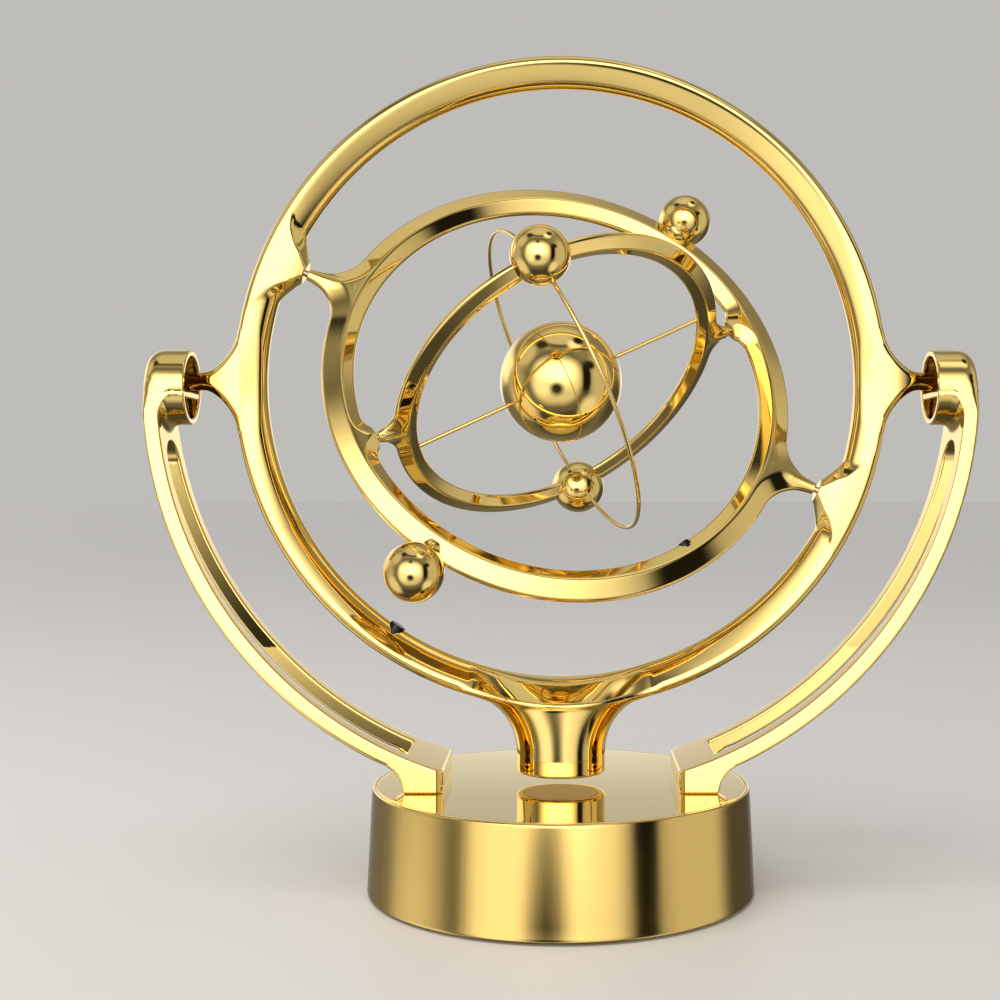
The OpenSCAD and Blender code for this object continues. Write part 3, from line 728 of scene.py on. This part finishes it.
# ------------------------------------------------------------------ drum and plate
drum_low, drum_high = box_mm("base_shell")
DRUM_R = drum_high[0]
DRUM_BOTTOM = drum_low[2]
DRUM_TOP_R = 46.34
RIM_EDGE = 0.52                 # rounding of the drum's top edge
WALL_HEIGHT = PLATE_TOP - 0.5 - DRUM_BOTTOM
PLATE_BOTTOM = PLATE_TOP - 1.5
FLOOR_TOP, FLOOR_BOTTOM = 24.21, 22.3   # the drum's upper deck, under the plate

# (radius, height): inside, lower edge, tapered wall, top edge, then the seat of the plate
drum = [(0, FLOOR_BOTTOM), (2, FLOOR_BOTTOM), (44.0, FLOOR_BOTTOM), (44.3, 22.0), (44.3, 3.5),
        (44.5, 3.25), (45.45, 3.25), (45.45, DRUM_BOTTOM + 0.25), (45.6, DRUM_BOTTOM)]
drum += arc(DRUM_R - 0.45, DRUM_BOTTOM + 0.45, 0.45, -85, -5, 6)
drum += [(DRUM_R + (DRUM_TOP_R - DRUM_R) * (z - DRUM_BOTTOM) / WALL_HEIGHT, z)
         for z in np.linspace(DRUM_BOTTOM + 0.9, PLATE_TOP - 0.95, 10)]
drum += arc(DRUM_TOP_R - RIM_EDGE, PLATE_TOP - RIM_EDGE, RIM_EDGE, 5, 88, 9)
drum += [(45.45, PLATE_TOP), (45.3, PLATE_TOP - 0.06), (45.25, PLATE_TOP - 0.2),
         (45.25, PLATE_BOTTOM), (45.25, FLOOR_TOP), (30, FLOOR_TOP), (2, FLOOR_TOP),
         (0, FLOOR_TOP)]
add_turned("drum_shell", drum, 256, "base", "base_shell", "satin_gold", crease=32)

plate = [(0, PLATE_BOTTOM), (40, PLATE_BOTTOM), (45.1, PLATE_BOTTOM),
         (45.2, PLATE_TOP - 1.4), (45.2, PLATE_TOP - 0.22)]
plate += arc(45.02, PLATE_TOP - 0.18, 0.18, 0, 90, 5)[1:]
plate += [(radius, PLATE_TOP) for radius in (44.6, 30, 15, 2, 0)]
add_turned("gloss_plate", plate, 256, "base", "top_plate", "gloss_gold_plate", crease=32)

# ------------------------------------------------------------------ balls, hoop and axle
AXLE = in_plane(10.96)          # the centre ball's axle in the inner ring's plane
HOOP_ANGLE = 100.91             # degrees, the hoop crosses the inner ring here and opposite
MIDDLE_BALLS = 78.32            # degrees, back ball; the front one is opposite
WIRE_R = 0.5


def axes_along(direction):
    """Axes whose third one follows the direction."""
    direction = direction / np.linalg.norm(direction)
    side = np.cross((0, 0, 1), direction)
    side /= np.linalg.norm(side)
    return np.stack([side, np.cross(direction, side), direction], 1)


def ball_profile(radius, start, end, count):
    angles = [math.radians(degrees) for degrees in np.linspace(start, end, count)]
    return [(radius * math.sin(angle), radius * math.cos(angle)) for angle in angles]


def seated_ball(place, degrees):
    """Ball on the middle ring's rim, with a small fillet to a short stem that points inward."""
    outward = MIDDLE_AXES @ in_plane(degrees)
    profile = ball_profile(BALL_R, 0, 152, 84)
    edge_r, edge_h = profile[-1]
    profile += [(edge_r - inset, edge_h - drop) for inset, drop in
                ((0.35, 0.35), (0.62, 0.9), (0.7, 1.6), (0.7, 2.2))]
    profile.append((0, edge_h - 2.2))
    add_turned(f"middle_ball_{place}_turned", profile, 144, "middle", f"middle_ball_{place}",
               "ball_gold", crease=40, axes=axes_along(outward), origin=PIVOT + outward * 64.2)


def bored_ball(node, body, axis, centre, radius, bore, lip, segments):
    """Ball with a through bore and a small rolled edge where the wire goes in."""
    start = math.degrees(math.asin((bore + lip) / radius))
    mouth = radius * math.cos(math.radians(start))
    top = [(bore, mouth - 1.2), (bore + 0.02, mouth - 0.35), (bore + 0.12, mouth - 0.12),
           (bore + 0.28, mouth - 0.02)]
    bottom = [(r, -height) for r, height in top[::-1]]
    add_turned(f"{node}_turned", top + ball_profile(radius, start, 180 - start, 130) + bottom,
               segments, body, node, "ball_gold", crease=40,
               axes=axes_along(INNER_AXES @ axis), origin=PIVOT + INNER_AXES @ centre,
               closed=True)


def add_wire(name, path, closed, body, node):
    points, faces = tube(to_world(path, INNER_AXES), WIRE_R, closed)
    add_mesh(name, points, faces, body, node, "gold_wire")


seated_ball("front", MIDDLE_BALLS + 180)
seated_ball("back", MIDDLE_BALLS)
bored_ball("centre_ball", "centre", AXLE, np.zeros(3), radius=15.15, bore=WIRE_R, lip=0.45,
           segments=224)
RING_NORMAL = np.array([0, 0, 1.0])
for place, degrees in (("top", HOOP_ANGLE), ("bottom", HOOP_ANGLE + 180)):
    # the hoop passes through along the ring's normal, a little inside the ball's centre
    bored_ball(f"inner_ball_{place}", "inner", RING_NORMAL, 43.38 * in_plane(degrees),
               radius=BALL_R, bore=0.3, lip=0.01, segments=144)

hoop_turn = np.linspace(0, 2 * np.pi, 361)[:-1, None]
hoop_path = 40 * (np.cos(hoop_turn) * in_plane(HOOP_ANGLE) + np.sin(hoop_turn) * RING_NORMAL)
add_wire("orbit_hoop_wire", hoop_path, True, "inner", "orbit_hoop")
add_wire("centre_axle_wire", np.linspace(-42.4, 42.4, 60)[:, None] * AXLE, False, "centre",
         "centre_axle")


# ------------------------------------------------------------------ floor, in metres
def add_floor(half_size=9.0, z=-0.0002, count=24):
    mat, _, shader = new_material("floor")
    shader.inputs["Base Color"].default_value = (0.74, 0.725, 0.705, 1)
    shader.inputs["Roughness"].default_value = 0.45
    shader.inputs["Specular IOR Level"].default_value = 0.35
    stations = np.linspace(-half_size, half_size, count)
    points = [(x, y, z) for y in stations for x in stations]
    faces = [(j * count + i, j * count + i + 1, (j + 1) * count + i + 1, (j + 1) * count + i)
             for j in range(count - 1) for i in range(count - 1)]
    mesh = bpy.data.meshes.new("floor")
    mesh.from_pydata(points, [], faces)
    mesh.materials.append(mat)
    obj = bpy.data.objects.new("floor", mesh)
    scene.collection.objects.link(obj)
    obj.visible_glossy = False


# ------------------------------------------------------------------ studio world
# Soft boxes (bright) and flags (dark), each laid over the ones before. Columns: azimuth,
# elevation, half width, half height (degrees), edge softness, level, squareness.
PANELS = [
    (180, 16, 42, 24, 0.5, 0.54, 2), (180, 3, 34, 7, 0.4, 1.2, 2),
    (-132, 14, 30, 12, 0.5, 1.35, 2), (-97, 0, 20, 22, 0.5, 0.50, 2),
    (-92, -34, 26, 24, 0.45, 0.86, 2), (-88, 38, 25, 17, 0.45, 0.66, 2),
    (86, 4, 27, 36, 0.4, 0.62, 2.5), (112, 22, 7, 22, 0.5, 0.25, 2),
    (70, -42, 20, 18, 0.45, 0.92, 2), (135, -14, 24, 20, 0.5, 0.08, 2),
    (-141, -18, 15, 20, 0.5, 0.18, 2), (-9, -3, 58, 61, 0.12, 0.16, 2.6),
    (-9, -1, 47, 45, 0.2, 0.80, 2.8), (-9, 9, 39, 25, 0.45, 1.4, 3.5),
    (-9, 13, 29, 17, 0.6, 2.9, 2.5), (-33, -14, 15, 14, 0.7, 1.3, 2),
    (-8, -17, 12.5, 11.5, 0.6, 0.035, 2), (-10, 43, 9, 7, 0.45, 0.12, 2),
    (50, 4, 8, 27, 0.4, 0.012, 3), (60, 25, 11, 7, 0.5, 0.02, 2),
    (-20, 65, 62, 4, 0.5, 0.14, 3), (-72, 61, 24, 7, 0.45, 0.04, 2),
    (50, 64, 22, 10, 0.5, 1.3, 2), (84, 67, 24, 7, 0.45, 0.02, 2),
]
# Room brightness: elevation in degrees, level
ROOM = [(-90, 0.07), (-62, 0.07), (-45, 0.16), (-20, 0.22), (0, 0.27), (30, 0.26), (52, 0.26),
        (68, 0.62), (90, 0.74)]


def add_panel(tree, level_below, azimuth, elevation, panel):
    at_azimuth, at_elevation, half_width, half_height, soft, level, square = panel
    turn = maths(tree, "WRAP", maths(tree, "SUBTRACT", azimuth, at_azimuth), 180.0, -180.0)
    rise = maths(tree, "SUBTRACT", elevation, at_elevation)
    parts = []
    for offset, half in ((turn, half_width), (rise, half_height)):
        ratio = maths(tree, "ABSOLUTE", maths(tree, "DIVIDE", offset, half))
        parts.append(maths(tree, "POWER", ratio, square))
    distance = maths(tree, "POWER", maths(tree, "ADD", *parts), 1.0 / square)
    cover = add_node(tree, "MapRange", {
        "Value": distance, "From Min": 1 - soft, "From Max": 1 + soft, "To Min": 1.0,
        "To Max": 0.0}, interpolation_type="SMOOTHSTEP")
    below = maths(tree, "MULTIPLY", level_below, maths(tree, "SUBTRACT", 1.0, cover))
    return maths(tree, "ADD", below, maths(tree, "MULTIPLY", cover, level))


def add_world():
    world = bpy.data.worlds.new("studio")
    scene.world = world
    world.use_nodes = True
    tree = world.node_tree
    coords = add_node(tree, "TexCoord", {}, output="Generated")
    way = add_node(tree, "SeparateXYZ", {0: coords}).node.outputs
    to_degrees = 180 / math.pi
    # azimuth is 0 towards the front and grows to the right
    azimuth = maths(tree, "ARCTAN2", way["X"], maths(tree, "MULTIPLY", way["Y"], -1.0))
    azimuth = maths(tree, "MULTIPLY", azimuth, to_degrees)
    elevation = maths(tree, "MULTIPLY", maths(tree, "ARCSINE", way["Z"]), to_degrees)
    height = maths(tree, "ADD", maths(tree, "DIVIDE", elevation, 180.0), 0.5)
    level = ramp(tree, height, [((angle + 90) / 180, (grey,) * 3) for angle, grey in ROOM])
    for panel in PANELS:
        level = add_panel(tree, level, azimuth, elevation, panel)
    warm = add_node(tree, "CombineColor", {0: level, 1: maths(tree, "MULTIPLY", level, 0.985),
                                           2: maths(tree, "MULTIPLY", level, 0.96)})
    room = tree.nodes["Background"]
    tree.links.new(warm, room.inputs["Color"])
    room.inputs["Strength"].default_value = 1.0
    # seen straight from the camera the room is a plain pale grey
    plain = add_node(tree, "Background", {"Color": (0.522, 0.508, 0.487, 1)})
    direct = add_node(tree, "LightPath", {}, output="Is Camera Ray")
    surface = add_node(tree, "MixShader", {0: direct, 1: room.outputs[0], 2: plain})
    tree.links.new(surface, tree.nodes["World Output"].inputs["Surface"])


# ------------------------------------------------------------------ light and camera, in metres
def add_key_light():
    light = bpy.data.lights.new("key_top", "AREA")
    light.energy = 5.0
    light.shape = "RECTANGLE"
    light.size, light.size_y = 0.7, 0.5
    light.color = (1.0, 0.98, 0.95)
    obj = bpy.data.objects.new("key_top", light)
    scene.collection.objects.link(obj)
    obj.location = (-0.25, -0.35, 0.95)
    aim = Vector((0, 0, 0.05)) - Vector((-0.25, -0.35, 0.95))
    obj.rotation_euler = aim.to_track_quat("-Z", "Y").to_euler()
    obj.visible_glossy = False


def add_camera():
    camera = bpy.data.cameras.new("camera")
    obj = bpy.data.objects.new("camera", camera)
    scene.collection.objects.link(obj)
    obj.location = (0, -0.363054, 0.098829)
    obj.rotation_euler = (math.radians(91.012), 0, 0)
    camera.sensor_width = 36.0
    camera.lens = 52.565796
    camera.shift_x = -0.06092
    camera.shift_y = -0.039437
    camera.clip_start = 0.01
    scene.camera = obj


add_floor()
add_world()
add_key_light()
add_camera()
scene.view_settings.view_transform = "Standard"
